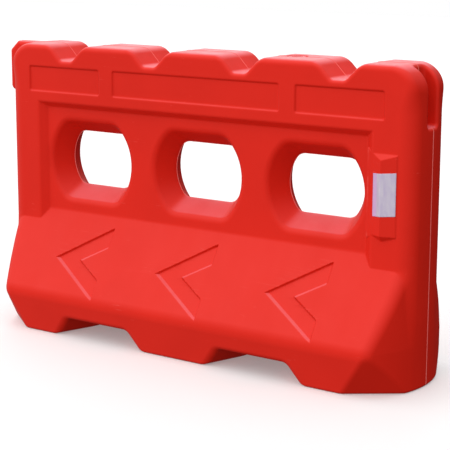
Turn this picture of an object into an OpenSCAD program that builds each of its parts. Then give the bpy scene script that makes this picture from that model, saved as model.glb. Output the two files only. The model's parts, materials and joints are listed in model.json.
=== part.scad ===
// Three-window water-filled road barrier: one hollow moulded tank with its filler, drain and
// reflectors. Millimetres, +Z up. X runs along the barrier from the tongue end (-X) to the groove
// end (+X), -Y is the front. The origin is on the ground, under the centre of the middle window.

/* [Body] */
// Length from nose to nose, without the tongue
body_l = 1310; // [1200:10:1500]
// Height to the top of the lands
body_h = 800; // [720:10:1000]
// Thickness of the header and of the end pillars
upper_t = 168; // [150:2:200]
// Wall of the moulded shell
wall = 5; // [3:0.5:7]
// Radius of the upper corners, seen from the front
corner_r = 65; // [30:5:90]
// Radius of the long top edges
top_edge_r = 22; // [8:1:40]
// Radius of the upright corners of the pillars
pillar_r = 50; // [20:2:60]
// How far the pillar corner at the tongue end lies behind the tip of the nose
tongue_end_back = 20; // [10:1:40]
// How far the pillar corner at the groove end lies behind the tip of the nose
groove_end_back = 13; // [10:1:40]

/* [Base] */
// Widest part of the base, across the crease
base_w = 400; // [340:5:480]
// Height of the crease
crease_z = 114.5; // [90:1:150]
// How much narrower the underside is than the crease, on each side
skirt_in = 22; // [10:1:40]
// Height at which the slope meets the pillars
slope_top = 302; // [260:2:340]
// How far the crease stops short of the tip of the nose at the tongue end
tongue_crease_back = 80; // [50:1:120]
// The same at the groove end
groove_crease_back = 60; // [50:1:120]
// How far the foot corner stops short of the tip of the nose
foot_back = 143; // [100:1:160]
// Radius of the lower edges
foot_r = 20; // [8:1:30]

/* [Feet and fork channels] */
// Half the width of the middle foot at the ground
mid_foot = 108; // [90:1:130]
// Width of an outer foot's underside
end_foot = 114; // [80:1:130]
// How much narrower a channel is at its ceiling, on each side
channel_in = 43; // [35:1:60]
// Height of a channel
channel_h = 53; // [40:1:70]
// Radius of the shoulders
channel_r = 26; // [10:1:30]
// How much a channel narrows from its mouths to the middle, on each side
mouth_in = 46; // [0:1:60]
// Half the length of the narrow middle of a channel
mouth_y = 50; // [20:1:120]

/* [Windows] */
// Number of windows
window_count = 3; // [1:1:3]
// Radius of the throat
throat_r = 112; // [90:1:120]
// How much the radius grows towards each face
flare_r = 34; // [15:1:36]
// How much the half height grows towards each face
flare_h = 39; // [15:1:40]
// Space between a rim and the pillar beside it
rim_side = 3; // [2:1:20]
// Space above and below a rim
rim_space = 28; // [20:1:40]

/* [Web recess] */
// Thickness of the web that holds the windows
web_t = 130; // [110:1:145]
// Width of a pillar, from the tip of the nose to the web
pillar_w = 143; // [130:1:165]
// Width of the pillar bevel along the barrier
web_bevel = 23; // [5:1:35]
// How far the top of the web lies below the top
header_h = 176; // [160:1:190]
// Height of the header's underside bevel
header_bevel = 16; // [5:1:25]

/* [Top notches] */
// How far the outer notches lie from the tip of the nose
notch_end = 221.5; // [180:0.5:240]
// Width of a notch at the top
notch_w = 124; // [100:2:140]
// Width of a notch at its floor
notch_floor = 40; // [30:2:60]
// Depth of a notch
notch_d = 43; // [25:1:50]
// Radius of the notch edges
notch_r = 16; // [4:1:20]

/* [Header panels] */
// Half the length of the middle panel
panel_mid = 265; // [220:1:280]
// Where an outer panel starts
panel_in = 316; // [300:1:340]
// Space between an outer panel and the tip of the nose
panel_end = 92; // [80:1:150]
// How far the panels' lower edge lies below the top
panel_low = 130; // [120:1:140]
// Height of the panels
panel_h = 66; // [40:1:75]
// Depth of the panels and arrows
recess_d = 4.5; // [2:0.5:6]

/* [Arrows] */
// Space between an outer arrow and the end of the crease
arrow_end = 149; // [130:1:180]
// How far the row of arrows lies towards the groove end
arrow_shift = 4; // [-20:1:20]
// Height of the tips
arrow_z = 212; // [205:1:220]
// Length of an arrow along the barrier
arrow_l = 156; // [130:1:170]
// Half the height of an arrow
arrow_h = 86; // [70:1:90]
// Width of an arrow's limb along the barrier
arrow_limb = 74; // [50:1:90]

/* [Interlock] */
// How far the tongue stands out of the nose
tongue_l = 42; // [20:1:50]
// Thickness of the tongue
tongue_t = 44; // [20:1:60]
// How far the tongue's lower edge lies below the top
tongue_h = 144; // [100:2:200]
// Depth of the groove, beyond the tongue's length
groove_gap_l = 3; // [1:0.5:6]
// Clearance on each side of the tongue
groove_gap_t = 3; // [1:0.5:6]
// Clearance below the tongue
groove_gap_z = 8; // [3:1:15]

/* [Reflector lug] */
// Space between the middle of the lug and the tip of the nose
lug_back = 84; // [76:1:95]
// Width of the lug at its root
lug_w = 68; // [60:1:84]
// Width of the lug's bevel towards the windows
lug_bevel = 28; // [10:1:32]
// How far the lug still stands out at its end
lug_end_out = 3; // [2:0.5:8]
// Lower end of the lug
lug_z = 377; // [350:1:400]
// Height of the lug
lug_h = 210; // [150:2:230]
// How far the lug stands out
lug_out = 14; // [8:1:18]
// Width of the reflective strip on the lug's front
tape_w = 38; // [20:1:39]
// Height of bevel that the strip leaves bare at its foot
tape_bare = 1.5; // [0.5:0.5:6]
// Height of the reflective strip
tape_h = 106; // [60:1:140]
// Thickness of the reflective strip
tape_t = 0.6; // [0.3:0.1:1]

/* [Filler] */
// How far the filler lies from the middle of its land
filler_shift = -27; // [-38:1:38]
// Place of the filler across the barrier
filler_y = 12; // [-20:1:20]
// Bore of the filler neck
filler_bore = 38; // [30:1:44]

/* [Drain] */
// Space between the drain and the foot's corner
drain_in = 50; // [45:1:60]
// Height of the drain
drain_z = 48; // [44:1:60]
// Depth of the drain's seat inside the crease width
drain_seat = 24; // [20:1:30]
// Bore of the drain neck
drain_bore = 26; // [20:1:30]

/* [Fittings] */
// Wall of a neck ring
neck_t = 5; // [3:0.5:7]
// Length of a neck ring
neck_l = 20; // [14:1:30]
// Width and thickness of the flange that keys a neck ring into the shell
neck_flange = 3; // [2:0.5:5]
// Width of a cap's head beyond the bore, on each side
head_out = 4; // [3:0.5:6]
// Thickness of a cap's head
head_t = 4; // [3:0.5:6]
// Thickness of a sealing ring
seal_t = 2; // [1:0.5:4]
// Gap between a cap's head and the well around it
well_gap = 5; // [3:0.5:8]
// How far the head lies below the surface around it
head_low = 1; // [0:0.5:3]
// Clearance of a plug in its neck, on each side
plug_gap = 0.3; // [0.2:0.1:0.5]
// Length of a plug below its head
plug_l = 16; // [10:1:24]
// Width of the grip bar
grip_w = 7; // [5:1:10]

/* [Hidden] */
$fn = 64;
corner_steps = 4; // flats on each rounded corner of an outline
far = 2000; // longer than the barrier
proud = 40; // how far cutting shapes run past a face
half_l = body_l / 2;
upper_y = upper_t / 2;
web_y = web_t / 2;
crease_y = base_w / 2;
slope = (slope_top - crease_z) / (crease_y - upper_y); // rise of the slope for each unit inwards
tongue_pillar_x = half_l - tongue_end_back;
groove_pillar_x = half_l - groove_end_back;
tongue_crease_x = half_l - tongue_crease_back;
groove_crease_x = half_l - groove_crease_back;
foot_x = half_l - foot_back;
groove_x = half_l - tongue_l - groove_gap_l;
tongue_z = body_h - tongue_h;
channel_out = foot_x - end_foot; // outer end of a channel at the ground
web_x = half_l - pillar_w;
web_top = body_h - header_h;
web_low = slope_top + (upper_y - web_y) * slope;
window_z = (web_top + web_low) / 2;
throat_h = (web_top - web_low) / 2 - rim_space - flare_h;
window_pitch = (web_x - rim_side - throat_r - flare_r) * 2 / max(1, window_count - 1);
window_xs = [for (i = [0:window_count - 1]) (i - (window_count - 1) / 2) * window_pitch];
notch_pitch = (half_l - notch_end) * 2 / 3;
notch_xs = [-1.5, -0.5, 0.5, 1.5] * notch_pitch;
panel_out = half_l - panel_end;
panel_z = body_h - panel_low;
arrow_pitch = tongue_crease_x - arrow_end - arrow_l / 2;
arrow_xs = [for (i = [-1:1]) arrow_shift + i * arrow_pitch - arrow_l / 2];
lug_x = half_l - lug_back;
filler_x = notch_pitch + filler_shift;
drain_x = drain_in - foot_x;
well_d = head_low + head_t + seal_t;
slope_out = unit([slope, 1]); // in Y and Z, square to the slope
red = [0.87, 0.15, 0.11];
black = [0.08, 0.08, 0.08];
silver = [0.76, 0.73, 0.82];

// ---- outlines ----

function unit(v) = v / norm(v);

// The round that replaces corner b of an outline that runs from a through b to c
function corner(a, b, c, r) = r <= 0 ? [[b.x, b.y]] :
    let (u = unit([a.x - b.x, a.y - b.y]), v = unit([c.x - b.x, c.y - b.y]),
        half = acos(u * v) / 2, centre = [b.x, b.y] + unit(u + v) * r / sin(half),
        from = [b.x, b.y] + u * r / tan(half) - centre, start = atan2(from.y, from.x),
        turn = (180 - 2 * half) * sign(cross(-u, v)))
    [for (k = [0:corner_steps]) let (angle = start + turn * k / corner_steps)
        centre + r * [cos(angle), sin(angle)]];

// An outline of [x, y, radius] corners with its rounds worked out
function rounded(p) = [for (i = [0:len(p) - 1])
    each corner(p[(i + len(p) - 1) % len(p)], p[i], p[(i + 1) % len(p)], p[i].z)];

// A counter-clockwise outline with every edge moved inwards by t, or outwards where t is negative
function inset(p, t) = [for (i = [0:len(p) - 1])
    let (before = unit(p[i] - p[(i + len(p) - 1) % len(p)]), after = unit(p[(i + 1) % len(p)] - p[i]),
        n1 = [-before.y, before.x], n2 = [-after.y, after.x])
    p[i] + t * (n1 + n2) / (1 + n1 * n2)];

function flipped(p) = [for (i = [len(p) - 1:-1:0]) [-p[i].x, p[i].y, p[i].z]];

// A fork channel, as wide as its mouths less t on each side
function channel_half(t) = [[mid_foot + t, 0, channel_r], [mid_foot + channel_in + t, channel_h, channel_r],
    [channel_out - channel_in - t, channel_h, channel_r], [channel_out - t, 0, channel_r]];

notches = [for (i = [len(notch_xs) - 1:-1:0]) each [[notch_xs[i] + notch_w / 2, body_h, notch_r],
    [notch_xs[i] + notch_floor / 2, body_h - notch_d, notch_r],
    [notch_xs[i] - notch_floor / 2, body_h - notch_d, notch_r],
    [notch_xs[i] - notch_w / 2, body_h, notch_r]]];

// Seen from the front: feet, fork channels, ends and notched top
front_outline = rounded([each flipped(channel_half(mouth_in)), each channel_half(mouth_in),
    [half_l, 0, foot_r * 2], [half_l, body_h, corner_r], each notches,
    [-half_l, body_h, corner_r], [-half_l, 0, foot_r * 2]]);

side_half = [[crease_y - skirt_in, 0, foot_r], [crease_y, crease_z, foot_r / 2],
    [upper_y, slope_top, 0], [upper_y, body_h, top_edge_r]];

// Seen from the end: skirt, crease, slope and upright
side_outline = rounded([each side_half, each flipped(side_half)]);

// Seen from above, below the pillars
low_plan = [[half_l, 0], [groove_pillar_x, upper_y], [groove_crease_x, crease_y],
    [-tongue_crease_x, crease_y], [-tongue_pillar_x, upper_y], [-half_l, 0],
    [-tongue_pillar_x, -upper_y], [-tongue_crease_x, -crease_y], [groove_crease_x, -crease_y],
    [groove_pillar_x, -upper_y]];

// Seen from above, at the pillars
high_plan = rounded([[half_l, 0, 0], [groove_pillar_x, upper_y, pillar_r],
    [-tongue_pillar_x, upper_y, pillar_r], [-half_l, 0, 0], [-tongue_pillar_x, -upper_y, pillar_r],
    [groove_pillar_x, -upper_y, pillar_r]]);

// Two points on the slope of the +Y side, beyond its ends, seen from the end
slope_line = [[upper_y - proud, slope_top + proud * slope], [crease_y + proud, crease_z - proud * slope]];

// The web's recess on the +Y side, seen from the end
web_side = [[web_y, web_low], [upper_y + proud, slope_top - proud * slope],
    [upper_y + proud, web_top + header_bevel * (1 + proud / (upper_y - web_y))], [web_y, web_top]];

// The same recess, seen from above
web_plan = let (spread = web_bevel * (1 + proud / (upper_y - web_y)))
    [[-web_x, web_y], [web_x, web_y], [web_x + spread, upper_y + proud],
        [-web_x - spread, upper_y + proud]];

arrow = [[0, 0], [arrow_l, -arrow_h], [arrow_l, -arrow_h / 2], [arrow_limb, 0], [arrow_l, arrow_h / 2],
    [arrow_l, arrow_h]];

tongue_outline = rounded([[-tongue_pillar_x + wall * 4, tongue_z, 0],
    [-tongue_pillar_x + wall * 4, body_h, 0],
    [-half_l + tongue_l / 4, body_h, 6], [-half_l - tongue_l, body_h - tongue_l * 0.75, 6],
    [-half_l - tongue_l, tongue_z, 14]]);

// The lug seen from the end and from above, on the +Y side
lug_side = [[upper_y - wall * 2, lug_z], [upper_y, lug_z], [upper_y + lug_out, lug_z + lug_out],
    [upper_y + lug_out, lug_z + lug_h - lug_out], [upper_y, lug_z + lug_h],
    [upper_y - wall * 2, lug_z + lug_h]];
lug_plan = [[lug_x - lug_w / 2, upper_y - wall * 2], [lug_x + lug_w / 2, upper_y - wall * 2],
    [lug_x + lug_w / 2, upper_y + lug_end_out],
    [lug_x - lug_w / 2 + lug_bevel, upper_y + lug_out], [lug_x - lug_w / 2, upper_y]];

// ---- directions ----

// An outline in X and Z, drawn out along Y
module along_y(outline, width = far) {
    translate([0, width / 2, 0]) rotate([90, 0, 0]) linear_extrude(width) polygon(outline);
}

// An outline in Y and Z, drawn out along X
module along_x(outline) {
    translate([-far / 2, 0, 0]) rotate([90, 0, 90]) linear_extrude(far) polygon(outline);
}

// A shape and its mirror image behind the barrier
module both_faces() {
    children();
    mirror([0, 1, 0]) children();
}

// ---- the moulded form, with every face moved inwards by t ----

module solid_body(t) {
    intersection() {
        along_y(inset(front_outline, t));
        along_x(inset(side_outline, t));
        union() {
            linear_extrude(slope_top) polygon(inset(low_plan, t));
            linear_extrude(body_h) polygon(inset(high_plan, t));
        }
    }
}

// Everything beyond the plane through p that faces the unit direction out
module beyond(p, out) {
    translate(p) rotate([0, acos(out.z), atan2(out.y, out.x)])
        translate([-far / 4, -far / 4, 0]) cube([far / 2, far / 2, far / 8]);
}

// A facet that cuts each lower corner, from the crease down to the foot
module corner_facets(t) {
    b = [foot_x, crease_y - skirt_in, 0];
    for (end = [[0, groove_crease_x, groove_pillar_x], [1, tongue_crease_x, tongue_pillar_x]], sy = [0, 1]) {
        a = [end[1], crease_y, crease_z];
        c = [end[2], upper_y, 0];
        out = unit(cross(c - a, b - a));
        mirror([end[0], 0, 0]) mirror([0, sy, 0]) beyond(a - out * t, out);
    }
}

// What a channel's mouths add to its narrow middle
module channel_mouths(t) {
    full_y = crease_y - skirt_in;
    lean = channel_in / channel_h;
    flare = mouth_in / (full_y - mouth_y);
    inner = unit([-1, -flare, lean]);
    outer = unit([1, -flare, lean]);
    section = inset(rounded([each channel_half(0), [channel_out, -proud, 0], [mid_foot, -proud, 0]]), t);
    both_faces() for (sx = [0, 1])
        mirror([sx, 0, 0]) difference() {
            translate([0, mouth_y + far / 4, 0]) along_y(section, far / 2);
            beyond([mid_foot, full_y, 0] + inner * t, inner);
            beyond([channel_out, full_y, 0] + outer * t, outer);
        }
}

module web_recess(t) {
    intersection() {
        along_x(inset(web_side, -t));
        linear_extrude(far) polygon(inset(web_plan, -t));
    }
}

module windows(t) {
    reach = web_y + 1;
    grow = reach / web_y;
    top = throat_h + t;
    rim = throat_h + flare_h * grow + t;
    for (x = window_xs)
        translate([x, 0, window_z]) intersection() {
            rotate([90, 0, 0]) rotate_extrude()
                polygon([[0, -reach], [throat_r + flare_r * grow + t, -reach], [throat_r + t, 0],
                    [throat_r + flare_r * grow + t, reach], [0, reach]]);
            along_x([[-reach, -rim], [0, -top], [reach, -rim], [reach, rim], [0, top], [-reach, rim]]);
        }
}

module header_panels(t) {
    for (x = [[-panel_out, -panel_in], [-panel_mid, panel_mid], [panel_in, panel_out]])
        translate([x[0] - t, upper_y - recess_d - t, panel_z - t])
            cube([x[1] - x[0] + 2 * t, proud, panel_h + 2 * t]);
}

module arrows(t) {
    intersection() {
        for (x = arrow_xs)
            along_y([for (p = inset(arrow, -t)) p + [x, arrow_z]]);
        along_x([slope_line[0] - slope_out * (recess_d + t), slope_line[1] - slope_out * (recess_d + t),
            slope_line[1] + slope_out * proud, slope_line[0] + slope_out * proud]);
    }
}

module groove(t) {
    translate([groove_x - t, -tongue_t / 2 - groove_gap_t - t, tongue_z - groove_gap_z - t])
        cube([far, tongue_t + 2 * (groove_gap_t + t), far]);
}

module tongue(t) {
    along_y(inset(tongue_outline, t), tongue_t - 2 * t);
}

module lug(t) {
    intersection() {
        along_x(inset(lug_side, t));
        linear_extrude(far) polygon(inset(lug_plan, t));
    }
}

module moulded_form(t) {
    difference() {
        union() {
            solid_body(t);
            both_faces() lug(t);
        }
        both_faces() {
            web_recess(t);
            header_panels(t);
            arrows(t);
        }
        corner_facets(t);
        channel_mouths(t);
        windows(t);
        groove(t);
    }
    tongue(t);
}

// ---- filler and drain, drawn with the seat at z = 0 and the outside towards +Z ----

function well_r(bore) = bore / 2 + head_out + well_gap;
function flange_r(bore) = bore / 2 + neck_t + neck_flange;

module neck_solid(bore) {
    translate([0, 0, -neck_l]) cylinder(r = bore / 2 + neck_t, h = neck_l);
    translate([0, 0, -neck_l / 2 - neck_flange / 2]) cylinder(r = flange_r(bore), h = neck_flange);
}

module neck(bore) {
    difference() {
        neck_solid(bore);
        translate([0, 0, -neck_l - 1]) cylinder(r = bore / 2, h = neck_l + 2);
    }
}

module seal(bore) {
    difference() {
        cylinder(r = bore / 2 + head_out, h = seal_t);
        translate([0, 0, -1]) cylinder(r = bore / 2, h = seal_t + 2);
    }
}

// A cap with two half-round finger pockets that leave a grip bar between them
module cap(bore) {
    difference() {
        union() {
            translate([0, 0, seal_t]) cylinder(r = bore / 2 + head_out, h = head_t);
            translate([0, 0, seal_t - plug_l]) cylinder(r = bore / 2 - plug_gap, h = plug_l + 1);
        }
        for (turn = [0, 180])
            rotate([0, 0, turn]) intersection() {
                translate([0, 0, seal_t - plug_l / 2]) cylinder(r = bore / 2 - 4, h = far);
                translate([grip_w / 2, -far / 2, -far / 2]) cube(far);
            }
    }
}

// What the shell gives up around a fitting: the well, the neck's seat and the way into the tank
module fitting_cut(bore) {
    cylinder(r = well_r(bore), h = proud);
    neck_solid(bore);
    translate([0, 0, -neck_l - proud]) cylinder(r = bore / 2, h = proud + 1);
}

// The thicker moulding that holds a neck and the wall of its well
module boss(bore) {
    translate([0, 0, -neck_l - wall])
        cylinder(r = max(well_r(bore), flange_r(bore)) + wall, h = neck_l + wall + proud);
}

module at_filler() {
    translate([filler_x, filler_y, body_h - well_d]) children();
}

module at_drain() {
    translate([drain_x, crease_y - drain_seat, drain_z]) rotate([-90, 0, 0]) children();
}

// ---- pieces ----

module barrier_shell() {
    color(red) difference() {
        moulded_form(0);
        difference() {
            moulded_form(wall);
            at_filler() boss(filler_bore);
            at_drain() boss(drain_bore);
        }
        at_filler() fitting_cut(filler_bore);
        at_drain() fitting_cut(drain_bore);
    }
}

module filler_neck() {
    color(red) at_filler() neck(filler_bore);
}

module filler_seal() {
    color(black) at_filler() seal(filler_bore);
}

module filler_cap() {
    color(red) at_filler() cap(filler_bore);
}

module drain_neck() {
    color(red) at_drain() neck(drain_bore);
}

module drain_seal() {
    color(black) at_drain() seal(drain_bore);
}

module drain_plug() {
    color(red) at_drain() cap(drain_bore);
}

// The strip lies on the lug's front and folds over its bevel towards the windows
module reflector() {
    face = upper_y + lug_out;
    edge = lug_x - lug_w / 2 + lug_bevel;
    foot = [edge, face] - unit([lug_bevel, lug_out]) * norm([lug_bevel, lug_out]) * (1 - tape_bare / lug_out);
    bevel_out = unit([-lug_out, lug_bevel]);
    front = unit([lug_w - lug_bevel, lug_end_out - lug_out]);
    front_out = [-front.y, front.x];
    fold = (bevel_out + front_out) / (1 + bevel_out * front_out);
    tip = [edge, face] + front * tape_w;
    strip = [[edge, face], tip, tip + front_out * tape_t, [edge, face] + fold * tape_t,
        foot + bevel_out * tape_t, foot];
    translate([0, 0, lug_z + lug_h / 2 + 6 - tape_h / 2]) linear_extrude(tape_h) polygon(strip);
}

module front_reflector() {
    color(silver) mirror([0, 1, 0]) reflector();
}

module rear_reflector() {
    color(silver) reflector();
}

barrier_shell();
filler_neck();
filler_seal();
filler_cap();
drain_neck();
drain_seal();
drain_plug();
front_reflector();
rear_reflector();
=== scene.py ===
import json
import math
import time

import bmesh
import bpy
import numpy as np
import openvdb
from mathutils import Matrix, Vector

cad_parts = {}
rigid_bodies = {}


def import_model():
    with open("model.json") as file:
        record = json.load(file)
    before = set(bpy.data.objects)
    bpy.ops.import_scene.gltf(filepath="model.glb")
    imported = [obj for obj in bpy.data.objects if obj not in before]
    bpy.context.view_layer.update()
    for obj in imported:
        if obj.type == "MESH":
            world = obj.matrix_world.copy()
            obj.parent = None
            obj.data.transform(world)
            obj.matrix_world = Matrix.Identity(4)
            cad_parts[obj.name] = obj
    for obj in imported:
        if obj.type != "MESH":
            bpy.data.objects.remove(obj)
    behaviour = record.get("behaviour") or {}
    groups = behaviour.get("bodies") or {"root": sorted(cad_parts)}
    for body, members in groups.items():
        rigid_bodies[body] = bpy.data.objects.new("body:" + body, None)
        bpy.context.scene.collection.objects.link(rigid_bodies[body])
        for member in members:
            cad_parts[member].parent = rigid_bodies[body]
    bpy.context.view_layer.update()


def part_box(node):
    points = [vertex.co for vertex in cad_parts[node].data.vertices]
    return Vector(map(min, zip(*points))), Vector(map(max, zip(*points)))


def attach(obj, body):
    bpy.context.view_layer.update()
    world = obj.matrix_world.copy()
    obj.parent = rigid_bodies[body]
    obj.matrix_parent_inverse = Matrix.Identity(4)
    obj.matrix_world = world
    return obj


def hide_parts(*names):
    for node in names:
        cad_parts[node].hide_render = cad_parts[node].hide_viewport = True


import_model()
startTime = time.time()


def report(stage):
    print(f"scene: {stage} after {time.time() - startTime:.1f} s")


# Shapes are worked out in millimetres: x along the barrier, -y its front, z up.
def nodeBox(node):
    low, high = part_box(node)
    return np.array(low) * 1000, np.array(high) * 1000


shellLow, shellHigh = nodeBox("barrier_shell")

shell = {
    "height": shellHigh[2],
    "noseX": shellHigh[0],
    "tongueX": -shellLow[0],
    "upperY": 84.0,  # half the thickness of header and pillars
    "noseBack": (20.0, 13.0),  # a pillar's corner behind the tip of the nose: tongue end, groove end
    "pillarRound": 50.0,
    "topRound": 24.0,
    "cornerRound": 66.0,
    "creaseY": 200.0,
    "creaseZ": 114.5,
    "creaseBack": (82.0, 67.0),  # the end of the crease behind the tip of the nose
    "creaseRound": 52.0,
    "skirtIn": 22.0,
    "slopeTop": 302.0,
    "cheekRound": (28.0, 44.0),  # at the foot of the slope, at its top
    "cheekLean": 12.0,
    "footBack": 143.0,
    "facetRound": 22.0,
    "footRound": 8.0,
    "endRound": 9.0,
    "wall": 5.0,
}
channel = {"inner": 108.0, "outer": 398.0, "lean": 43.0, "height": 53.0, "shoulder": 26.0, "edge": 22.0,
           "narrow": 46.0, "narrowY": 50.0, "mouthY": 178.0}
web = {"y": 65.0, "halfLength": 512.0, "bevel": 23.0, "top": 624.0, "headerBevel": 16.0, "inside": 8.0,
       "edge": 11.0, "foot": 18.0, "pillarFoot": 5.0, "endFoot": 60.0}
window = {"pitch": 363.0, "radius": 110.5, "halfHeight": 77.2, "flare": 35.0, "flareHeight": 40.0,
          "z": 478.0, "corner": 34.0, "throat": 4.0, "rim": 20.0}
notch = {"pitch": 289.0, "floor": 20.0, "lean": 42.0, "depth": 43.0, "inside": 20.0, "edge": 26.0}
panel = {"spans": [(-563.0, -316.0), (-265.0, 265.0), (316.0, 563.0)], "low": 670.0, "high": 736.0,
         "depth": 4.5, "draft": 0.7, "inside": 2.0, "edge": 4.0}
arrow = {"pitch": 348.0, "tipX": -74.0, "tipZ": 212.0, "length": 156.0, "halfHeight": 86.0, "limb": 74.0,
         "depth": 6.5, "draft": 0.6, "inside": 1.5, "edge": 2.0}
interlock = {"tongueHalf": 22.0, "tongueZ": 656.0, "chamferX": -13.0, "chamferZ": 26.0, "tongueRound": 12.0,
             "grooveHalf": 25.0, "grooveX": 610.0, "grooveZ": 648.0, "grooveRound": 10.0}
lug = {"x": 571.0, "halfWidth": 34.0, "low": 377.0, "high": 587.0, "out": 14.0, "bevel": 28.0,
       "endOut": 2.0, "underLip": 9.0, "edge": 3.5, "foot": 4.0}
fitting = {"headOut": 4.0, "headTop": 6.0, "headFoot": 2.0, "wellGap": 5.0, "wellDepth": 25.0,
           "plugGap": 0.3, "plugLength": 14.0, "neckWall": 5.0, "neckLength": 20.0, "flangeOut": 8.0,
           "flangeHalf": 1.5, "flangeDown": 10.0, "pitch": 4.5, "thread": 1.0, "grips": 48,
           "hollowOut": 25.0, "hollowDepth": 110.0}


# A field gives the distance to a surface, negative inside. Turn is the angle, in degrees, through
# which the surface turns at the edge that is rounded.
def bothOf(a, b, radius, turn=90):
    c = math.cos(math.radians(turn))
    p, q = a + radius, b + radius
    edge = np.sqrt(np.maximum(p * p + q * q - 2 * c * p * q, 0) / (1 - c * c)) - radius
    return np.where((p > c * q) & (q > c * p), edge, np.maximum(a, b))


def eitherOf(a, b, radius, turn=90):
    return -bothOf(-a, -b, radius, turn)


def cutFrom(a, b, radius, turn=90):
    return bothOf(a, -b, radius, turn)


def rightOf(p, q, start, end):  # distance to the right of the line from start to end
    dp, dq = end[0] - start[0], end[1] - start[1]
    return ((p - start[0]) * dq - (q - start[1]) * dp) / math.hypot(dp, dq)


def blendFrom(value, start, end):  # 0 at start, 1 at end, smooth between
    t = np.clip((value - start) / (end - start), 0, 1)
    return t * t * (3 - 2 * t)


def slopeField(ay, z):
    s = shell
    return rightOf(ay, z, (s["creaseY"], s["creaseZ"]), (s["upperY"], s["slopeTop"]))


def endField(x, ay):  # both rounded ends, seen from above
    s = shell
    fields = []
    for way, noseBack, creaseBack in zip((-1, 1), s["noseBack"], s["creaseBack"]):
        power = math.log(creaseBack / noseBack) / math.log(s["creaseY"] / s["upperY"])
        y = np.maximum(ay, 1) / s["upperY"]
        slope = power * noseBack / s["upperY"] * y ** (power - 1)
        fields.append((way * x - s["noseX"] + noseBack * y ** power) / np.sqrt(1 + slope * slope))
    return np.maximum(*fields)


def upperField(x, ay, z):
    s, w = shell, web
    end = bothOf(endField(x, ay), z - s["height"], s["cornerRound"])
    radius = s["pillarRound"] + (s["topRound"] - s["pillarRound"]) * blendFrom(z, 680, 770)
    body = bothOf(ay - s["upperY"], end, radius, 73)
    spread = s["upperY"] - w["y"]
    under = rightOf(ay, z, (s["upperY"], w["top"] + w["headerBevel"]), (w["y"], w["top"]))
    bevel = rightOf(np.abs(x), ay, (w["halfLength"], w["y"]),
                    (w["halfLength"] + w["bevel"], w["y"] + spread))
    air = bothOf(w["y"] - ay, under, w["inside"], 50)
    air = bothOf(air, bevel, w["inside"], 40)
    return cutFrom(body, air, w["edge"], 45)


def lowerField(x, ay, z):
    s = shell
    skirt = rightOf(ay, z, (s["creaseY"] - s["skirtIn"], 0), (s["creaseY"], s["creaseZ"]))
    body = bothOf(slopeField(ay, z), skirt, s["creaseRound"], 43)
    rise = np.clip((z - s["creaseZ"]) / (s["slopeTop"] - s["creaseZ"]), 0, 1)
    end = endField(x, ay) + s["cheekLean"] * rise * blendFrom(ay, 40, 84)
    radius = s["cheekRound"][0] + (s["cheekRound"][1] - s["cheekRound"][0]) * rise
    body = bothOf(body, end, radius, 67)
    for way, noseBack, creaseBack in zip((-1, 1), s["noseBack"], s["creaseBack"]):
        a = np.array([s["noseX"] - creaseBack, s["creaseY"], s["creaseZ"]])
        b = np.array([s["noseX"] - s["footBack"], s["creaseY"] - s["skirtIn"], 0])
        c = np.array([s["noseX"] - noseBack, s["upperY"], 0])
        out = np.cross(c - a, b - a)
        out = out / np.linalg.norm(out) * np.sign(-out[2])
        facet = (way * x - a[0]) * out[0] + (ay - a[1]) * out[1] + (z - a[2]) * out[2]
        body = bothOf(body, facet, s["facetRound"], 38)
    return body


def windowAir(x, ay, z):
    w = window
    reach = np.minimum(np.sqrt(ay * ay + w["throat"] ** 2) - w["throat"], web["y"] + 1) / web["y"]
    xc = np.clip(np.round(x / w["pitch"]), -1, 1) * w["pitch"]
    dz = z - w["z"]
    cone = (np.hypot(x - xc, dz) - w["radius"] - w["flare"] * reach) * 0.886
    flat = (np.abs(dz) - w["halfHeight"] - w["flareHeight"] * reach) * 0.857
    return bothOf(cone, flat, w["corner"], 45)


def notchAir(x, z):
    n = notch
    xc = (np.clip(np.round(x / n["pitch"] - 0.5), -2, 1) + 0.5) * n["pitch"]
    floor = shell["height"] - n["depth"]
    side = rightOf(np.abs(x - xc), z, (n["floor"], floor), (n["floor"] + n["lean"], shell["height"]))
    return bothOf(floor - z, side, n["inside"], 45)


def channelAir(ax, ay, z):  # narrower in the middle than at its mouths
    c = channel
    middle, half = (c["inner"] + c["outer"]) / 2, (c["outer"] - c["inner"]) / 2
    over = (np.sqrt((ay - c["narrowY"]) ** 2 + 100) + ay - c["narrowY"]) / 2
    ax = middle + np.abs(ax - middle) + c["narrow"] * (1 - over / (c["mouthY"] - c["narrowY"]))
    side = rightOf(np.abs(ax - middle), z, (half, 0), (half - c["lean"], c["height"]))
    return bothOf(z - c["height"], side, c["shoulder"], 51)


def sunk(outline, depth, sizes):  # a shallow recess with drafted sides; depth is negative below the surface
    floor = -(depth + sizes["depth"])
    side = (outline + floor * sizes["draft"]) / math.hypot(1, sizes["draft"])
    return bothOf(side, floor, sizes["inside"], 60)


def panelAir(x, ay, z):
    p = panel
    tall = np.abs(z - (p["low"] + p["high"]) / 2) - (p["high"] - p["low"]) / 2
    wide = np.minimum.reduce([np.abs(x - (a + b) / 2) - (b - a) / 2 for a, b in p["spans"]])
    return sunk(bothOf(wide, tall, 4), ay - shell["upperY"], p)


def arrowAir(x, ay, z):
    a = arrow
    dx = x - a["tipX"]
    dx = dx - np.clip(np.round((dx - a["length"] / 2) / a["pitch"]), -1, 1) * a["pitch"]
    dz = np.abs(z - a["tipZ"])
    outer = rightOf(dz, dx, (0, 0), (a["halfHeight"], a["length"]))
    inner = rightOf(dz, dx, (0, a["limb"]), (a["halfHeight"] / 2, a["length"]))
    outline = bothOf(bothOf(outer, -inner, 1), dx - a["length"], 3, 60)
    return sunk(outline, slopeField(ay, z), a)


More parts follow.
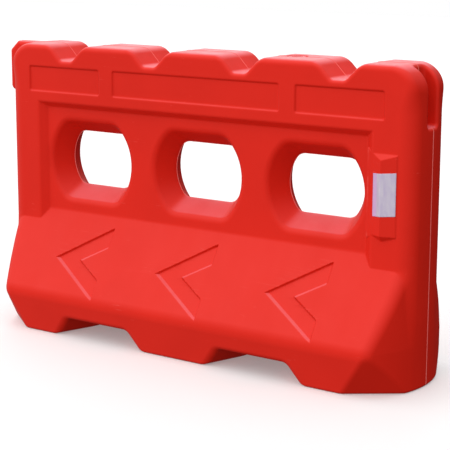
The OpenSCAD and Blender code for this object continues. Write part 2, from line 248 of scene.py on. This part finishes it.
def grooveAir(x, ay, z):
    g = interlock
    slot = bothOf(g["grooveX"] - x, ay - g["grooveHalf"], g["grooveRound"])
    return bothOf(slot, g["grooveZ"] - z, g["grooveRound"])


def tongueField(x, ay, z):
    g, s = interlock, shell
    tip = bothOf(-x - s["tongueX"], g["tongueZ"] - z, 16)
    chamfer = rightOf(x, z, (-s["tongueX"], s["height"] - g["chamferZ"]),
                      (-s["noseX"] + g["chamferX"], s["height"]))
    tip = bothOf(tip, -chamfer, 10, 60)
    tip = bothOf(tip, z - s["height"], 10, 31)
    tip = np.maximum(tip, x + s["noseX"] - 60)
    return bothOf(tip, ay - g["tongueHalf"], g["tongueRound"])


def lugField(x, ay, z):
    g, face = lug, shell["upperY"]
    left, right = g["x"] - g["halfWidth"], g["x"] + g["halfWidth"]
    bevel = rightOf(x, ay, (left + g["bevel"], face + g["out"]), (left, face))
    rise = np.minimum((x - left) / g["bevel"], 1 - (1 - g["endOut"] / g["out"]) * (x - left - g["bevel"])
                      / (right - left - g["bevel"]))
    under = g["low"] + g["underLip"] - z + ay - face - g["out"] * np.clip(rise, 0, 1)
    tall = np.maximum(z - g["high"] + ay - face, under)
    front = rightOf(x, ay, (right, face + g["endOut"]), (left + g["bevel"], face + g["out"]))
    body = bothOf(front, bevel, g["edge"], 39)
    body = bothOf(body, x - right - 2, 8, 77)
    body = bothOf(body, tall / math.sqrt(2), g["edge"], 45)
    return np.maximum(body, face - 12 - ay)


def formField(x, y, z):
    s = shell
    ax, ay = np.abs(x), np.abs(y)
    radius = web["foot"] + (web["pillarFoot"] - web["foot"]) * blendFrom(ax, web["halfLength"], 540)
    radius = radius + web["endFoot"] * blendFrom(ax, 600, 638) * blendFrom(ay, 47, 84)
    body = eitherOf(upperField(x, ay, z), lowerField(x, ay, z), radius, 32)
    radius = s["footRound"] + (s["endRound"] - s["footRound"]) * blendFrom(ax, 570, 640)
    body = bothOf(body, -z, radius, 80)
    body = cutFrom(body, channelAir(ax, ay, z), channel["edge"], 70)
    body = cutFrom(body, notchAir(x, z), notch["edge"], 60)
    body = cutFrom(body, windowAir(x, ay, z), window["rim"], 62)
    body = cutFrom(body, panelAir(x, ay, z), panel["edge"], 60)
    body = cutFrom(body, arrowAir(x, ay, z), arrow["edge"], 60)
    body = eitherOf(body, lugField(x, ay, z), lug["foot"], 45)
    radius = 22 * (1 - blendFrom(z, 770, 798)) + 0.5
    body = eitherOf(body, tongueField(x, ay, z), radius)
    return cutFrom(body, grooveAir(x, ay, z), interlock["grooveRound"], 85)


# A fitting is drawn about its own axis, with its seat at w = 0 and the outside at +w.
def placeOf(neckNode, axis):
    low, high = nodeBox(neckNode)
    middle = (low + high) / 2
    if axis == "z":
        return {"low": low, "high": high, "origin": np.array([middle[0], middle[1], high[2]]),
                "turn": Matrix.Identity(3)}
    return {"low": low, "high": high, "origin": np.array([middle[0], high[1], middle[2]]),
            "turn": Matrix.Rotation(math.radians(-90), 3, "X")}


filler = dict(placeOf("filler_neck", "z"), bore=19.0, prefix="filler", capNode="filler_cap",
              capBody="filler_screw_cap")
drain = dict(placeOf("drain_neck", "y"), bore=13.0, prefix="drain", capNode="drain_plug",
             capBody="drain_screw_plug")


def localOf(place, x, y, z):
    o = place["origin"]
    if place is filler:
        return x - o[0], y - o[1], z - o[2]
    return x - o[0], o[2] - z, y - o[1]


def shellField(x, y, z):
    outer = formField(x, y, z)
    body = outer
    for place in (filler, drain):
        u, v, w = localOf(place, x, y, z)
        r = np.hypot(u, v)
        well = place["bore"] + fitting["headOut"] + fitting["wellGap"]
        boss = bothOf(r - well - shell["wall"], -w - fitting["wellDepth"], 3)
        cave = np.maximum(outer + shell["wall"], r - well - fitting["hollowOut"])  # the hollow inside
        cave = np.maximum(cave, -w - fitting["hollowDepth"])
        cave = bothOf(cave, -boss, 4)
        neck = np.maximum(r - place["bore"] - fitting["neckWall"], -w - fitting["neckLength"])
        flange = np.maximum(r - place["bore"] - fitting["flangeOut"],
                            np.abs(w + fitting["flangeDown"]) - fitting["flangeHalf"])
        bore = np.maximum(np.maximum(r - place["bore"], -w - 30), w)
        body = bothOf(body, -bothOf(r - well, -w, 1.5), 2.5)
        for air in (cave, neck, flange, bore):
            body = np.maximum(body, -air)
    return body


def fieldNormals(field, p, reach=0.05):
    steps = np.eye(3) * reach
    slopes = [field(*(p + s).T) - field(*(p - s).T) for s in steps]
    g = np.stack(slopes, axis=1)
    return g / np.maximum(np.linalg.norm(g, axis=1, keepdims=True), 1e-9)


def ontoField(field, p, limit, rounds=3):
    for _ in range(rounds):
        move = np.clip(field(*p.T), -limit, limit)
        p = p - fieldNormals(field, p) * move[:, None]
    return p


def makeMesh(name, points, faces):
    mesh = bpy.data.meshes.new(name)
    mesh.from_pydata(points.tolist(), [], faces)
    mesh.update()
    return mesh


def addObject(name, mesh):
    obj = bpy.data.objects.new(name, mesh)
    bpy.context.scene.collection.objects.link(obj)
    return obj


def bakedCopy(obj):  # the object with its modifiers worked out, as a plain mesh
    graph = bpy.context.evaluated_depsgraph_get()
    mesh = bpy.data.meshes.new_from_object(obj.evaluated_get(graph))
    name = obj.name
    old = obj.data
    bpy.data.objects.remove(obj)
    if old.users == 0:
        bpy.data.meshes.remove(old)
    mesh.name = name
    return addObject(name, mesh)


def fieldPiece(name, field, low, high, step, most=190000, place=None):
    low, high = np.array(low, float), np.array(high, float)
    xs, ys, zs = [np.arange(low[i] - 2 * step, high[i] + 3 * step, step) for i in range(3)]
    values = np.empty((len(xs), len(ys), len(zs)), np.float32)
    for i in range(0, len(xs), 12):
        values[i:i + 12] = field(xs[i:i + 12, None, None], ys[None, :, None], zs[None, None, :])
    report(f"{name} field sampled at {values.size} points")
    grid = openvdb.FloatGrid(4 * step)
    grid.copyFromArray(np.clip(values, -4 * step, 4 * step))
    points, triangles, quads = grid.convertToPolygons(isovalue=0.0, adaptivity=0.0)
    points = points * step + np.array([xs[0], ys[0], zs[0]])
    points = ontoField(field, points, step)
    obj = addObject(name, makeMesh(name, points, triangles.tolist() + quads.tolist()))
    count = len(triangles) + 2 * len(quads)
    if count > most:
        thin = obj.modifiers.new("thin", "DECIMATE")
        thin.ratio = most / count
        obj = bakedCopy(obj)
        points = np.empty(len(obj.data.vertices) * 3)
        obj.data.vertices.foreach_get("co", points)
        points = ontoField(field, points.reshape(-1, 3), step / 2, 1)
    normals = fieldNormals(field, points)
    bend = (field(*(points + normals * 3).T) + field(*(points - normals * 3).T)) / 3
    if place is not None:
        turn = np.array(place["turn"])
        points = points @ turn.T + place["origin"]
        normals = normals @ turn.T
    mesh = obj.data
    mesh.vertices.foreach_set("co", (points * 0.001).ravel())
    mesh.update()
    mesh.polygons.foreach_set("use_smooth", np.ones(len(mesh.polygons), bool))
    mesh.normals_split_custom_set_from_vertices(normals.tolist())
    mesh.attributes.new("bend", "FLOAT", "POINT").data.foreach_set("value", bend.astype(np.float32))
    report(f"{name} has {len(mesh.polygons)} faces out of {count}")
    return obj


# Shader maths reads as sums: a Part is one output of a node.
class Part:
    def __init__(self, finish, socket):
        self.finish = finish
        self.socket = socket

    def maths(self, operation, *others):
        inputs = {0: self}
        for i, other in enumerate(others):
            inputs[i + 1] = other
        return self.finish.add("ShaderNodeMath", inputs, operation=operation)

    def __add__(self, other):
        return self.maths("ADD", other)

    def __sub__(self, other):
        return self.maths("SUBTRACT", other)

    def __mul__(self, other):
        return self.maths("MULTIPLY", other)

    def __truediv__(self, other):
        return self.maths("DIVIDE", other)

    def __radd__(self, other):
        return self + other

    def __rmul__(self, other):
        return self * other

    def __rsub__(self, other):
        return self.finish.add("ShaderNodeMath", {0: other, 1: self}, operation="SUBTRACT")

    def __rtruediv__(self, other):
        return self.finish.add("ShaderNodeMath", {0: other, 1: self}, operation="DIVIDE")

    def between(self, start, end):  # 0 at start, 1 at end
        inputs = {"Value": self, "From Min": start, "From Max": end}
        return self.finish.add("ShaderNodeMapRange", inputs, interpolation_type="SMOOTHSTEP")


class Finish:
    def __init__(self, name, owner=None):
        self.material = owner or bpy.data.materials.new(name)
        self.material.use_nodes = True
        self.tree = self.material.node_tree
        self.tree.nodes.clear()

    def add(self, kind, inputs=None, output=0, **settings):
        node = self.tree.nodes.new(kind)
        for key, value in settings.items():
            setattr(node, key, value)
        for key, value in (inputs or {}).items():
            if isinstance(value, Part):
                self.tree.links.new(value.socket, node.inputs[key])
            else:
                node.inputs[key].default_value = value
        return Part(self, node.outputs[output]) if node.outputs else node

    def place(self):
        return self.add("ShaderNodeTexCoord", output="Object")

    def stretched(self, x, y, z):
        return self.add("ShaderNodeMapping", {"Vector": self.place(), "Scale": (x, y, z)})

    def noise(self, scale, detail=2, where=None, roughness=0.5):
        inputs = {"Vector": where or self.place(), "Scale": scale, "Detail": detail, "Roughness": roughness}
        return self.add("ShaderNodeTexNoise", inputs)

    def attribute(self, name):
        return self.add("ShaderNodeAttribute", output="Fac", attribute_name=name)

    def facing(self, axis):
        normal = self.add("ShaderNodeNewGeometry", output="Normal")
        return self.add("ShaderNodeSeparateXYZ", {0: normal}, output=axis)

    def blend(self, factor, first, second):
        inputs = {0: factor, 6: first, 7: second}
        return self.add("ShaderNodeMix", inputs, output=2, data_type="RGBA")

    def bump(self, height, strength, distance, under=None):
        inputs = {"Height": height, "Strength": strength, "Distance": distance}
        if under is not None:
            inputs["Normal"] = under
        return self.add("ShaderNodeBump", inputs)

    def close(self, inputs):
        shader = self.add("ShaderNodeBsdfPrincipled", inputs)
        self.add("ShaderNodeOutputMaterial", {"Surface": shader}, output=0)
        return self.material


# The moulded tank, with a ridge of flash where the two halves of its mould met.
tank = fieldPiece("tankShell", shellField, shellLow, shellHigh, 3.0, 196000)
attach(tank, "barrier")
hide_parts("barrier_shell")

seam = {"spacing": 4.0, "radius": 1.3, "sunk": 0.35, "nibSpacing": 0.03, "nibSize": 0.0011, "seed": 7}


def sectionAt(x, y, z):
    return formField(x, 0 * y, z)


def resampled(points, spacing):
    gaps = np.linalg.norm(np.diff(points, axis=0), axis=1)
    along = np.concatenate([[0], np.cumsum(gaps)])
    count = max(int(along[-1] / spacing), 4)
    at = np.linspace(0, along[-1], count)
    return np.stack([np.interp(at, along, points[:, i]) for i in range(3)], axis=1)


def seamPath(corners):
    path = np.array([[x, 0, z] for x, z in corners], float)
    for _ in range(3):
        path = resampled(path, seam["spacing"])
        path = ontoField(sectionAt, path, 6, 8)
    return path - fieldNormals(sectionAt, path) * seam["sunk"]


def outlineCorners():
    s, n, c, g = shell, notch, channel, interlock
    top, end = s["height"], s["noseX"]
    ground = [(end, 30), (end - 25, 0), (c["outer"], 0), (c["outer"] - c["lean"], c["height"]),
              (c["inner"] + c["lean"], c["height"]), (c["inner"], 0)]
    mirrored = [(-x, z) for x, z in reversed(ground)]
    notches = []
    for i in (1.5, 0.5, -0.5, -1.5):
        middle = i * n["pitch"]
        for x, z in ((62, top), (20, top - n["depth"]), (-20, top - n["depth"]), (-62, top)):
            notches.append((middle + x, z))
    right = [(end, g["grooveZ"]), (g["grooveX"], g["grooveZ"]), (g["grooveX"], top)]
    left = [(-end + g["chamferX"], top), (-s["tongueX"], top - g["chamferZ"]), (-s["tongueX"], g["tongueZ"]),
            (-end, g["tongueZ"])]
    return ground[::-1] + right + notches + left + mirrored[::-1] + [(-c["inner"], 0), (c["inner"], 0)]


def windowCorners(middle):
    turn = np.linspace(0, 2 * math.pi, 73)
    x = window["radius"] * np.cos(turn)
    z = np.clip(window["radius"] * np.sin(turn), -window["halfHeight"], window["halfHeight"])
    return list(zip(middle + x, window["z"] + z))


def pathObject(name, paths):  # edges only, in metres
    points, edges = [], []
    for path, closed in paths:
        start = len(points)
        points += (path * 0.001).tolist()
        edges += [(start + i, start + i + 1) for i in range(len(path) - 1)]
        if closed:
            edges.append((start + len(path) - 1, start))
    mesh = bpy.data.meshes.new(name)
    mesh.from_pydata(points, edges, [])
    return addObject(name, mesh)


class Tree:  # a Geometry Nodes tree with named inputs
    def __init__(self, name, inputs):
        self.tree = bpy.data.node_groups.new(name, "GeometryNodeTree")
        self.tree.interface.new_socket("Geometry", in_out="OUTPUT", socket_type="NodeSocketGeometry")
        self.ids = {}
        for label, kind in inputs.items():
            socket = self.tree.interface.new_socket(label, in_out="INPUT", socket_type="NodeSocket" + kind)
            self.ids[label] = socket.identifier
        self.source = self.tree.nodes.new("NodeGroupInput")
        self.result = self.tree.nodes.new("NodeGroupOutput")

    def add(self, kind, inputs=None, **settings):
        node = self.tree.nodes.new(kind)
        for key, value in settings.items():
            setattr(node, key, value)
        for key, value in (inputs or {}).items():
            if isinstance(value, bpy.types.NodeSocket):
                self.tree.links.new(value, node.inputs[key])
            elif isinstance(value, bpy.types.Node):
                self.tree.links.new(value.outputs[0], node.inputs[key])
            else:
                node.inputs[key].default_value = value
        return node

    def given(self, label):
        return self.source.outputs[label]

    def run(self, obj, values):
        modifier = obj.modifiers.new("grow", "NODES")
        modifier.node_group = self.tree
        for label, value in values.items():
            modifier[self.ids[label]] = value
        return bakedCopy(obj)


def seamTree():
    t = Tree("mouldSeam", {"Path": "Geometry", "Radius": "Float", "Nib Spacing": "Float",
                           "Nib Size": "Float", "Seed": "Int", "Finish": "Material"})
    curve = t.add("GeometryNodeMeshToCurve", {"Mesh": t.given("Path")})
    ring = t.add("GeometryNodeCurvePrimitiveCircle", {"Resolution": 6, "Radius": t.given("Radius")})
    ridge = t.add("GeometryNodeCurveToMesh", {"Curve": curve, "Profile Curve": ring, "Fill Caps": True})
    spots = t.add("GeometryNodeCurveToPoints", {"Curve": curve, "Length": t.given("Nib Spacing")},
                  mode="LENGTH")
    nib = t.add("GeometryNodeMeshIcoSphere", {"Radius": t.given("Nib Size"), "Subdivisions": 1})
    grow = t.add("FunctionNodeRandomValue", {"Min": (0.5, 0.5, 0.5), "Max": (1.3, 1.0, 1.9),
                                            "Seed": t.given("Seed")}, data_type="FLOAT_VECTOR")
    nibs = t.add("GeometryNodeInstanceOnPoints", {"Points": spots, "Instance": nib, "Scale": grow})
    both = t.add("GeometryNodeJoinGeometry")
    t.tree.links.new(nibs.outputs[0], both.inputs[0])
    t.tree.links.new(ridge.outputs[0], both.inputs[0])
    whole = t.add("GeometryNodeRealizeInstances", {"Geometry": both})
    smooth = t.add("GeometryNodeSetShadeSmooth", {"Geometry": whole})
    done = t.add("GeometryNodeSetMaterial", {"Geometry": smooth, "Material": t.given("Finish")})
    t.tree.links.new(done.outputs[0], t.result.inputs[0])
    return t


def seamPaths():
    outline = seamPath(outlineCorners())
    o = filler["origin"]
    well = filler["bore"] + fitting["headOut"] + fitting["wellGap"] + 3
    clear = (np.hypot(outline[:, 0] - o[0], o[1]) > well) | (outline[:, 2] < 700)
    clear &= outline[:, 2] > 2.5  # none on the soles it stands on
    paths, run = [], []
    for point, keep in zip(outline, clear):
        if keep:
            run.append(point)
        elif run:
            paths.append((np.array(run), False))
            run = []
    paths.append((np.array(run), False))
    for i in (-1, 0, 1):
        paths.append((seamPath(windowCorners(i * window["pitch"]))[:-1], True))
    return paths


# Screw fittings, drawn about their own axis.
def threadWave(u, v, w):
    turn = np.arctan2(v, u) / (2 * math.pi)
    return 0.5 - 0.5 * np.cos(2 * math.pi * (w / fitting["pitch"] - turn))


def capField(place):
    b, f = place["bore"], fitting

    def field(u, v, w):
        r = np.hypot(u, v)
        angle = np.arctan2(v, u)
        grip = 0.3 - 0.3 * np.cos(f["grips"] * angle)
        head = bothOf(r - b - f["headOut"] + grip, w - f["headTop"], 1.2)
        head = bothOf(head, f["headFoot"] - w, 0.4)
        thread = threadWave(u, v, w) * f["thread"] * blendFrom(w, -0.5, -2.5)
        plug = bothOf(r - b + f["plugGap"] + thread, -w - f["plugLength"], 1.5)
        plug = np.maximum(plug, w - 3)
        body = np.minimum(head, plug)
        pocket = bothOf(r - b + 4, 3.5 - np.abs(v), 1.5)
        pocket = bothOf(pocket, -6 - w, 1.5)
        body = cutFrom(body, pocket, 1.0)
        rib = np.abs(r - b - 0.5) - 0.6
        return cutFrom(body, bothOf(rib, 5.5 - w, 0.2), 0.2)
    return field


def neckField(place):
    b, f = place["bore"], fitting

    def field(u, v, w):
        r = np.hypot(u, v)
        thread = threadWave(u, v, w) * f["thread"] * blendFrom(w, -0.8, -2.8)
        ring = bothOf(r - b - f["neckWall"], b - r + thread, 0.5)
        ring = bothOf(ring, np.abs(w + 10) - 10, 0.5)
        flange = bothOf(r - b - f["flangeOut"], np.abs(w + f["flangeDown"]) - f["flangeHalf"], 0.4)
        flange = np.maximum(flange, b + 2 - r)
        return eitherOf(ring, flange, 0.5)
    return field


def sealField(place):
    b = place["bore"]

    def field(u, v, w):
        r = np.hypot(u, v)
        ring = bothOf(np.abs(r - b - 2) - 2, np.abs(w - 1) - 1, 0.9)
        groove = 0.45 - np.hypot(r - b - 2, np.abs(w - 1) - 1.1)
        return np.maximum(ring, groove)
    return field


def fittingPiece(name, field, place, reach, low, high, step, node, body):
    piece = fieldPiece(name, field, (-reach, -reach, low), (reach, reach, high), step, 60000, place)
    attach(piece, body)
    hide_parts(node)
    return piece


# Reflective strips, laid over the lug and down its bevel.
tape = {"front": 38.0, "low": 435.0, "high": 541.0, "bare": 1.5, "step": 1.5, "thickness": 0.6, "lift": 0.02,
        "slant": 0.08}


def tapePiece(name, side):
    g, face = lug, shell["upperY"] + lug["out"]
    edge = g["x"] - g["halfWidth"] + g["bevel"]
    slant = math.hypot(g["bevel"], g["out"])
    fall = (g["out"] - g["endOut"]) / (2 * g["halfWidth"] - g["bevel"])
    folded = slant * (1 - tape["bare"] / g["out"])
    length = folded + tape["front"]
    columns = int(length / tape["step"])
    rows = int((tape["high"] - tape["low"]) / tape["step"])
    points, uvs, faces = [], [], []
    for j in range(rows + 1):
        z = tape["low"] + (tape["high"] - tape["low"]) * j / rows
        for i in range(columns + 1):
            s = length * i / columns - folded  # 0 on the edge of the lug's front
            down = max(-s, 0) / slant
            back = max(s, 0) * fall
            points.append((edge + max(s, 0) - down * g["bevel"], side * (face - down * g["out"] - back),
                           z + tape["slant"] * s))
            uvs.append(((s + folded) * 0.001, (z - tape["low"]) * 0.001))
    wide = columns + 1
    for j in range(rows):
        for i in range(columns):
            a = j * wide + i
            face = (a, a + 1, a + wide + 1, a + wide)
            faces.append(face if side < 0 else face[::-1])
    points = ontoField(formField, np.array(points), 4, 4)
    points += fieldNormals(formField, points) * tape["lift"]
    mesh = makeMesh(name, points * 0.001, faces)
    layer = mesh.uv_layers.new(name="lay")
    loops = np.empty(len(mesh.loops), int)
    mesh.loops.foreach_get("vertex_index", loops)
    layer.data.foreach_set("uv", np.array(uvs)[loops].ravel())
    mesh.polygons.foreach_set("use_smooth", np.ones(len(mesh.polygons), bool))
    obj = addObject(name, mesh)
    thick = obj.modifiers.new("thick", "SOLIDIFY")
    thick.thickness = tape["thickness"] * 0.001
    thick.offset = 1.0
    return bakedCopy(obj)


# Finishes.
polyethylene = {
    "red": (0.72, 0.0185, 0.0085, 1),
    "deep": (0.62, 0.0150, 0.0065, 1),
    # Paler red on upward faces: sun-bleaching together with painted top light.
    "bleached": (0.85, 0.066, 0.056, 1),
    # Pale pink for the tops: chalky weathering together with a painted highlight.
    "chalky": (0.95, 0.24, 0.28, 1),
    "scuffed": (0.86, 0.11, 0.09, 1),
    "dust": (0.62, 0.36, 0.30, 1),
}


def mouldedPlastic(name, colours, edges=True):
    f = Finish(name)
    patches = f.noise(5.0, 3)
    grain = f.noise(260.0, 2)
    streaks = f.noise(14.0, 3, f.stretched(1, 1, 0.25))
    colour = f.blend(patches.between(0.35, 0.72) * 0.35, colours["red"], colours["deep"])
    upward = f.facing("Z")
    # Painted top light: upward faces turn paler red, partly sun-bleaching in streaks and partly painted
    # light from above.
    bleachAndTopLight = upward.between(0.1, 1.0) * (0.45 + streaks * 0.5)
    colour = f.blend(bleachAndTopLight, colour, colours["bleached"])
    # Painted highlight: the most upward faces turn pale pink, partly chalky weathering and partly a painted
    # highlight.
    colour = f.blend(upward.between(0.70, 1.0) * (0.40 + streaks * 0.4), colour, colours["chalky"])
    roughness = 0.36 + patches * 0.10 + grain * 0.08
    if edges:
        bend = f.attribute("bend")
        rubbed = bend.between(0.12, 0.5) * f.noise(45.0, 4).between(0.42, 0.66)
        colour = f.blend(rubbed * 0.35, colour, colours["scuffed"])
        # Painted shade: concave creases are darkened towards the deep red.
        creaseShade = (0 - bend).between(0.1, 0.6)
        colour = f.blend(creaseShade * 0.4, colour, colours["deep"])
        roughness = roughness + rubbed * 0.12
    scratchField = f.noise(38.0, 5, f.stretched(0.6, 1, 5.0), 0.6)
    scratches = scratchField.between(0.655, 0.70) * f.noise(7.0, 2).between(0.5, 0.65)
    colour = f.blend(scratches * 0.30, colour, colours["scuffed"])
    dust = upward.between(0.75, 1.0) * f.noise(22.0, 4).between(0.45, 0.75)
    colour = f.blend(dust * 0.12, colour, colours["dust"])
    roughness = roughness + dust * 0.15
    peel = f.noise(330.0, 2)
    skin = f.bump(peel, 0.10, 0.0006)
    waves = f.bump(f.noise(16.0, 2), 0.16, 0.003, skin)
    marks = f.bump(scratches * -1, 0.3, 0.0003, waves)
    return f.close({"Base Color": colour, "Roughness": roughness, "Normal": marks, "IOR": 1.5,
                    "Specular IOR Level": 0.10})


def rubberFinish():
    f = Finish("blackRubber")
    grain = f.noise(900.0, 3)
    bloom = f.noise(60.0, 3)
    colour = f.blend(bloom.between(0.4, 0.7), (0.016, 0.016, 0.017, 1), (0.045, 0.044, 0.043, 1))
    return f.close({"Base Color": colour, "Roughness": 0.62 + grain * 0.2,
                    "Normal": f.bump(grain, 0.25, 0.0002)})


def reflectiveFinish():
    f = Finish("reflectiveSheeting")
    lay = f.add("ShaderNodeUVMap", uv_map="lay")
    cell = f.add("ShaderNodeTexVoronoi", {"Vector": lay, "Scale": 330.0, "Randomness": 0.0},
                 output="Distance", feature="DISTANCE_TO_EDGE")
    wall = 1 - cell.between(0.02, 0.09)
    along = f.add("ShaderNodeSeparateXYZ", {0: lay}, output="X")
    cloud = f.noise(70.0, 4, f.add("ShaderNodeMapping", {"Vector": lay, "Scale": (1.0, 0.35, 1.0)}))
    colour = f.blend(cloud.between(0.3, 0.7), (0.47, 0.40, 0.57, 1), (0.56, 0.51, 0.61, 1))
    colour = f.blend(1 - along.between(0.012, 0.019), colour, (0.60, 0.36, 0.66, 1))
    colour = f.blend(wall * 0.35, colour, (0.78, 0.76, 0.80, 1))
    height = f.bump(wall, 0.2, 0.0002)
    return f.close({"Base Color": colour, "Roughness": 0.26 + cloud * 0.12, "Metallic": 0.15 + wall * 0.1,
                    "Normal": height, "Coat Weight": 0.5, "Coat Roughness": 0.12})


def paint(obj, material):
    obj.data.materials.clear()
    obj.data.materials.append(material)


tankFinish = mouldedPlastic("redPolyethylene", polyethylene)
flashColours = dict(polyethylene, red=(0.90, 0.22, 0.20, 1), deep=(0.82, 0.14, 0.12, 1))
flashFinish = mouldedPlastic("trimmedFlash", flashColours, False)
fittingColours = dict(polyethylene, red=(0.66, 0.012, 0.006, 1), deep=(0.5, 0.008, 0.004, 1))
neckFinish = mouldedPlastic("fittingPlastic", fittingColours)
capFinish = mouldedPlastic("capPlastic", dict(fittingColours, red=(0.56, 0.010, 0.006, 1)))
sealFinish = rubberFinish()
stripFinish = reflectiveFinish()
report("finishes made")

paint(tank, tankFinish)

seamPiece = pathObject("mouldSeam", seamPaths())
seamPiece = seamTree().run(seamPiece, {"Radius": seam["radius"] * 0.001, "Nib Spacing": seam["nibSpacing"],
                                       "Nib Size": seam["nibSize"], "Seed": seam["seed"],
                                       "Finish": flashFinish})
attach(seamPiece, "barrier")
report(f"seam has {len(seamPiece.data.polygons)} faces")

for place in (filler, drain):
    p = place["prefix"]
    b = place["bore"]
    neck = fittingPiece(p + "Neck", neckField(place), place, b + 9, -21, 1, 0.6, p + "_neck",
                        "barrier")
    paint(neck, neckFinish)
    seal = fittingPiece(p + "Seal", sealField(place), place, b + 5, -1, 3, 0.4, p + "_seal",
                        p + "_seal_ring")
    paint(seal, sealFinish)
    cap = fittingPiece(p + "Cap", capField(place), place, b + 5, -15, 7, 0.5, place["capNode"],
                       place["capBody"])
    paint(cap, capFinish)

for name, side, node in (("frontStrip", -1, "front_reflector"), ("rearStrip", 1, "rear_reflector")):
    strip = tapePiece(name, side)
    paint(strip, stripFinish)
    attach(strip, "barrier")
    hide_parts(node)
report("fittings and strips placed")

studio = {
    "floorSize": 14.0,
    "floorColour": (0.76, 0.76, 0.765, 1),
    "even": 0.61,
    "across": -0.27,
    "towards": -0.59,
    "above": 0.80,
    "lobe": (-0.534, 0.754, 0.382),
    "lobeWidth": 0.90,
    "lobeLight": 2.0,
}


def studioFloor():
    mesh = bpy.data.meshes.new("studioFloor")
    grid = bmesh.new()
    bmesh.ops.create_grid(grid, x_segments=8, y_segments=8, size=studio["floorSize"])
    bmesh.ops.translate(grid, verts=grid.verts, vec=(0, 0, -0.0005))
    grid.to_mesh(mesh)
    grid.free()
    floor = addObject("studioFloor", mesh)
    f = Finish("paleFloor")
    cloud = f.noise(0.8, 2)
    colour = f.blend(cloud, studio["floorColour"], (0.74, 0.74, 0.745, 1))
    floor.data.materials.append(f.close({"Base Color": colour, "Roughness": 0.9,
                                         "Emission Color": (1, 1, 1, 1), "Emission Strength": 0.22}))
    floor.visible_diffuse = False  # the ground gives no light back to the undersides
    floor.visible_glossy = False


def studioWorld():
    world = bpy.data.worlds.new("studioWorld")
    bpy.context.scene.world = world
    f = Finish("studioWorld", world)
    way = f.add("ShaderNodeTexCoord", output="Generated")
    x = f.add("ShaderNodeSeparateXYZ", {0: way}, output="X")
    y = f.add("ShaderNodeSeparateXYZ", {0: way}, output="Y")
    z = f.add("ShaderNodeSeparateXYZ", {0: way}, output="Z")
    light = studio["even"] + x * studio["across"] + y * studio["towards"] + z * studio["above"]
    lobe = f.add("ShaderNodeVectorMath", {0: way, 1: studio["lobe"]}, output="Value",
                 operation="DOT_PRODUCT")
    light = light.maths("MAXIMUM", 0.03) + lobe.between(studio["lobeWidth"], 1.0) * studio["lobeLight"]
    glow = f.add("ShaderNodeBackground", {"Color": (1.0, 0.985, 0.98, 1), "Strength": light})
    backdrop = f.add("ShaderNodeBackground", {"Color": (1, 1, 1, 1), "Strength": 1.0})
    seen = f.add("ShaderNodeLightPath", output="Is Camera Ray")
    shown = f.add("ShaderNodeMixShader", {0: seen, 1: glow, 2: backdrop})
    f.add("ShaderNodeOutputWorld", {"Surface": shown})


camera = {"from": (2.12256, -3.03758, 1.10677), "back": (0.55906, -0.80755, 0.18790), "roll": 0.09,
          "lens": 111.94, "shiftX": 0.0198, "shiftY": -0.054}


def placeCamera():
    data = bpy.data.cameras.new("viewer")
    data.sensor_width = 36
    data.lens = camera["lens"]
    data.shift_x = camera["shiftX"]
    data.shift_y = camera["shiftY"]
    data.clip_end = 60
    obj = bpy.data.objects.new("viewer", data)
    bpy.context.scene.collection.objects.link(obj)
    back = Vector(camera["back"]).normalized()
    right = Vector((0, 0, 1)).cross(back).normalized()
    up = back.cross(right)
    turn = Matrix((right, up, back)).transposed() @ Matrix.Rotation(math.radians(camera["roll"]), 3, "Z")
    obj.matrix_world = Matrix.Translation(camera["from"]) @ turn.to_4x4()
    bpy.context.scene.camera = obj


studioFloor()
studioWorld()
placeCamera()
bpy.context.scene.view_settings.view_transform = "Standard"
report("studio set")
